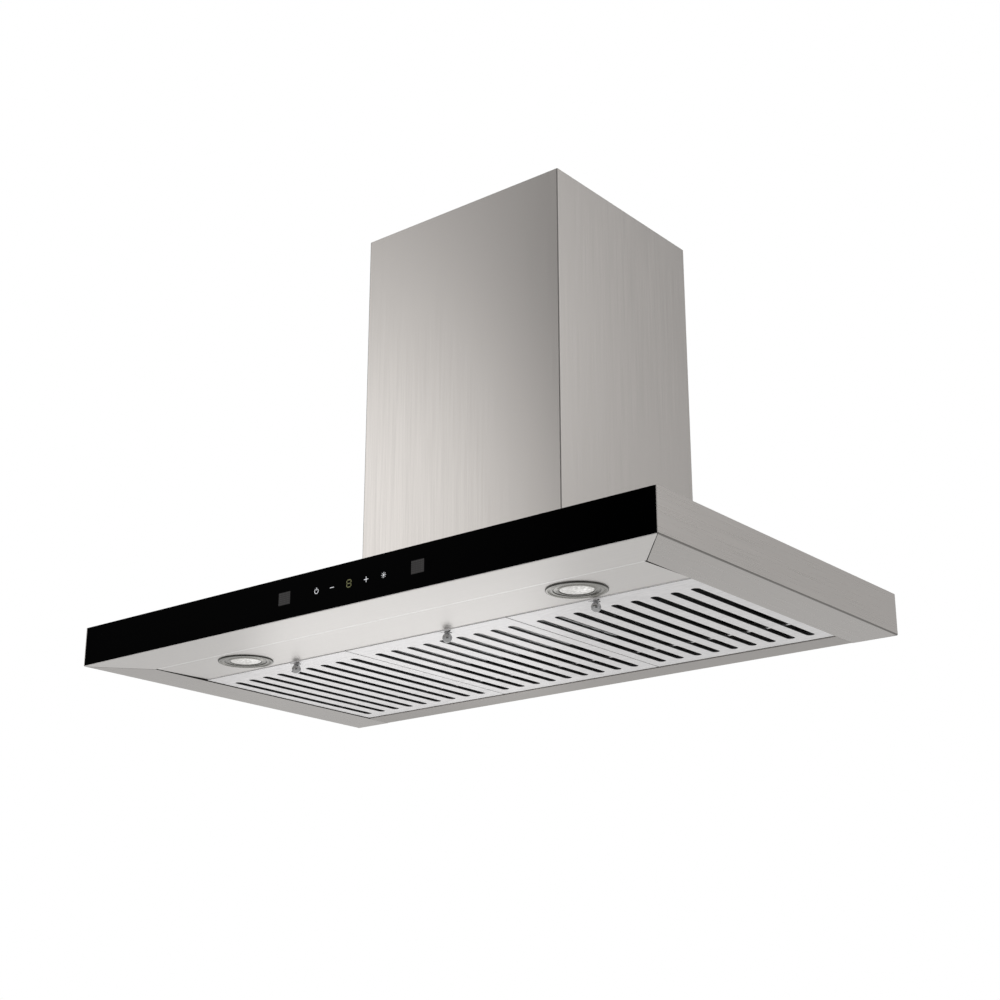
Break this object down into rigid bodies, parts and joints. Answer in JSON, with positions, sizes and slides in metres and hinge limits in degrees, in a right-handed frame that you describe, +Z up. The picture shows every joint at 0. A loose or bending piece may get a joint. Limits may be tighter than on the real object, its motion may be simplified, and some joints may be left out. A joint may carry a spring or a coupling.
{
  "type": "wall chimney range hood",
  "caption": "Wall-mounted chimney range hood: slim box canopy with a black glass touch front, three slotted grease filters, two round lamps and a square steel duct cover.",
  "frame": {"origin": "centre of the bottom edge of the rear face, where the canopy meets the wall", "axes": "+X to the right seen from the front, +Y into the wall, +Z up"},
  "size_m": [0.9, 0.5201, 0.6255],
  "materials": {
    "brushed_steel": "fine straight brushed grain along the width, satin",
    "galvanised": "zinc coated sheet, dull with faint spangle",
    "filter_steel": "bright satin steel with fine grain",
    "black_glass": "back-painted black tempered glass, polished",
    "adhesive_tape": "dense foam tape",
    "black_plastic": "moulded, fine grain",
    "circuit_board": "green lacquered laminate",
    "board_parts": "moulded component cases",
    "display_face": "dark face with dim segments",
    "window_grey": "dark grey window",
    "chrome": "polished",
    "lamp_lens": "frosted, lit from behind",
    "aluminium": "die cast",
    "spring_steel": "drawn spring wire and strip",
    "motor_enamel": "black enamel over cast end bells",
    "white_plastic": "moulded nylon"
  },
  "bodies": {
    "root": {"blower_box": "galvanised", "blower_screws": "galvanised", "canopy_left_side": "brushed_steel", "canopy_rear_panel": "brushed_steel", "canopy_right_side": "brushed_steel", "canopy_top_panel": "brushed_steel", "chimney_lower_cover": "brushed_steel", "chimney_wall_bracket": "galvanised", "control_board": "circuit_board", "control_glass": "black_glass", "control_housing": "black_plastic", "corner_brackets": "galvanised", "damper_pins": "galvanised", "display_module": "display_face", "duct_collar": "black_plastic", "electronics_tray": "galvanised", "front_rail": "galvanised", "glass_tape": "adhesive_tape", "hanging_plate": "galvanised", "inlet_ring": "galvanised", "lamp_bezel_left": "chrome", "lamp_bezel_right": "chrome", "lamp_boards": "circuit_board", "lamp_body_left": "aluminium", "lamp_body_right": "aluminium", "lamp_clips": "spring_steel", "lamp_lens_left": "lamp_lens", "lamp_lens_right": "lamp_lens", "lamp_panel": "brushed_steel", "main_board": "circuit_board", "main_board_parts": "board_parts", "mains_gland": "white_plastic", "motor": "motor_enamel", "motor_capacitor": "black_plastic", "motor_plate": "galvanised", "scroll_inlet_plate": "galvanised", "scroll_motor_plate": "galvanised", "scroll_wrap": "galvanised", "sensor_windows": "window_grey", "touch_pads": "black_plastic"},
    "filter_1": {"filter_tray_1": "filter_steel", "filter_rods_1": "filter_steel", "latch_spring_1": "spring_steel"},
    "latch_1": {"filter_knob_1": "chrome", "filter_latch_1": "filter_steel"},
    "filter_2": {"filter_tray_2": "filter_steel", "filter_rods_2": "filter_steel", "latch_spring_2": "spring_steel"},
    "latch_2": {"filter_knob_2": "chrome", "filter_latch_2": "filter_steel"},
    "filter_3": {"filter_tray_3": "filter_steel", "filter_rods_3": "filter_steel", "latch_spring_3": "spring_steel"},
    "latch_3": {"filter_knob_3": "chrome", "filter_latch_3": "filter_steel"},
    "impeller": {"impeller": "galvanised", "motor_shaft": "galvanised"},
    "flap_front": {"damper_flap_front": "black_plastic"},
    "flap_rear": {"damper_flap_rear": "black_plastic"},
    "upper_cover": {"chimney_upper_cover": "brushed_steel"}
  },
  "joints": [
    {"name": "filter_1_swing", "type": "hinge", "parent": "root", "child": "filter_1", "pos_m": [0, -0.0415, 0.0013], "axis": [1, 0, 0], "range_deg": [0, 60]},
    {"name": "latch_1_slide", "type": "slide", "parent": "filter_1", "child": "latch_1", "axis": [0, 1, 0], "range_m": [0, 0.005], "stiffness_N_per_m": 500, "springref_m": -0.004, "deforming": ["latch_spring_1"]},
    {"name": "filter_2_swing", "type": "hinge", "parent": "root", "child": "filter_2", "pos_m": [0, -0.0415, 0.0013], "axis": [1, 0, 0], "range_deg": [0, 60]},
    {"name": "latch_2_slide", "type": "slide", "parent": "filter_2", "child": "latch_2", "axis": [0, 1, 0], "range_m": [0, 0.005], "stiffness_N_per_m": 500, "springref_m": -0.004, "deforming": ["latch_spring_2"]},
    {"name": "filter_3_swing", "type": "hinge", "parent": "root", "child": "filter_3", "pos_m": [0, -0.0415, 0.0013], "axis": [1, 0, 0], "range_deg": [0, 60]},
    {"name": "latch_3_slide", "type": "slide", "parent": "filter_3", "child": "latch_3", "axis": [0, 1, 0], "range_m": [0, 0.005], "stiffness_N_per_m": 500, "springref_m": -0.004, "deforming": ["latch_spring_3"]},
    {"name": "impeller_spin", "type": "hinge", "parent": "root", "child": "impeller", "pos_m": [0, -0.131, 0.186], "axis": [1, 0, 0], "continuous": true},
    {"name": "flap_front_swing", "type": "hinge", "parent": "root", "child": "flap_front", "pos_m": [0, -0.202, 0.346], "axis": [-1, 0, 0], "range_deg": [0, 80]},
    {"name": "flap_rear_swing", "type": "hinge", "parent": "root", "child": "flap_rear", "pos_m": [0, -0.19, 0.346], "axis": [1, 0, 0], "range_deg": [0, 80]},
    {"name": "upper_cover_slide", "type": "slide", "parent": "root", "child": "upper_cover", "axis": [0, 0, 1], "range_m": [0, 0.35]}
  ]
}
